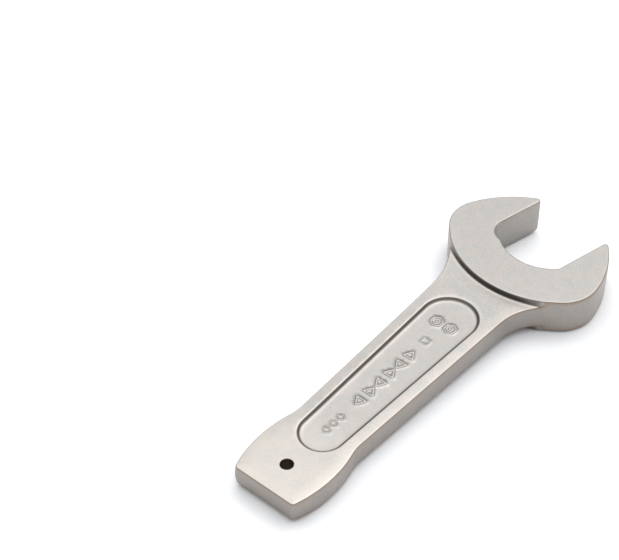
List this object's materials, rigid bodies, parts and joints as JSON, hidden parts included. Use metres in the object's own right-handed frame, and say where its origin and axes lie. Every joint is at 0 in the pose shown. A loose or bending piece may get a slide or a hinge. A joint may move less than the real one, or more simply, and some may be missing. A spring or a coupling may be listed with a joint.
{
  "type": "open-ended slugging wrench",
  "caption": "Open-ended slugging wrench with an angled jaw, a recessed handle, a hanging hole and a bulged tail that is struck with a hammer.",
  "frame": {"origin": "centre of the nut held in the jaw, on the forging's mid-plane", "axes": "+X from the struck face along the handle towards the jaw, +Y to the left of the handle, +Z out of the upper face"},
  "size_m": [0.247, 0.0943, 0.0216],
  "materials": {
    "forged_steel": "bead-blasted satin, brighter on the edges"
  },
  "bodies": {
    "root": {"wrench_forging": "forged_steel"}
  },
  "joints": []
}
